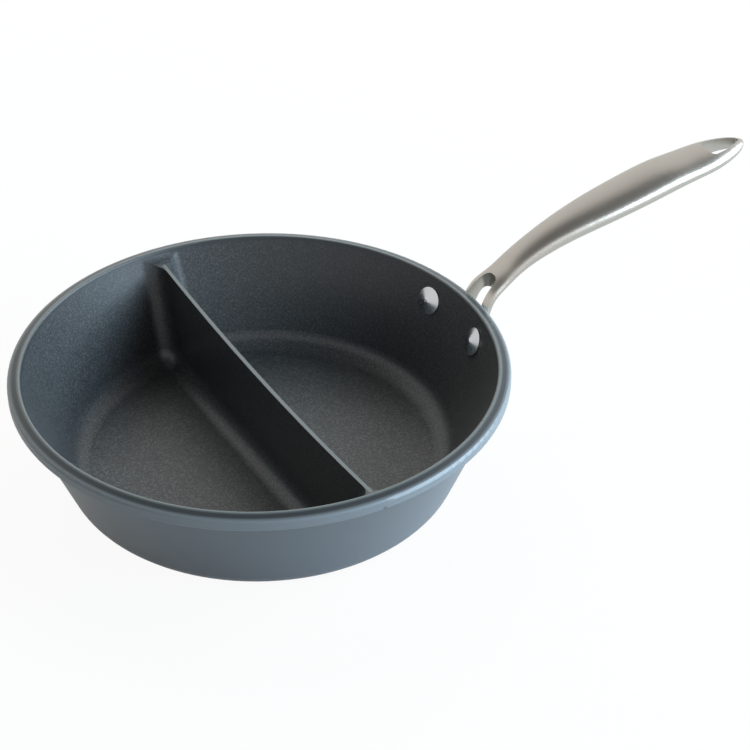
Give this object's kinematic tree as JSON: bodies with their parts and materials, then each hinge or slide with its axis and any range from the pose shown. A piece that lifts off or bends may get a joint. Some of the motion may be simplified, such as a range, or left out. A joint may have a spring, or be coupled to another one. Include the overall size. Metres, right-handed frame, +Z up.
{
  "type": "divided saucepan",
  "caption": "Round flared pan with a low wall across its middle that divides it into compartments, and a long forked handle with a hanging slot.",
  "frame": {"origin": "centre of the underside of the flat base", "axes": "+Z up out of the mouth, +X along the handle away from the pan, the divider runs along Y"},
  "size_m": [0.4482, 0.268, 0.1176],
  "materials": {
    "pan_coating": "cast aluminium under a dark charcoal non-stick coating, fine-grained and satin",
    "handle_steel": "cast stainless steel, satin",
    "rivet_steel": "satin steel"
  },
  "bodies": {
    "root": {"pan_body": "pan_coating", "handle": "handle_steel", "rivet_left": "rivet_steel", "rivet_right": "rivet_steel"}
  },
  "joints": []
}
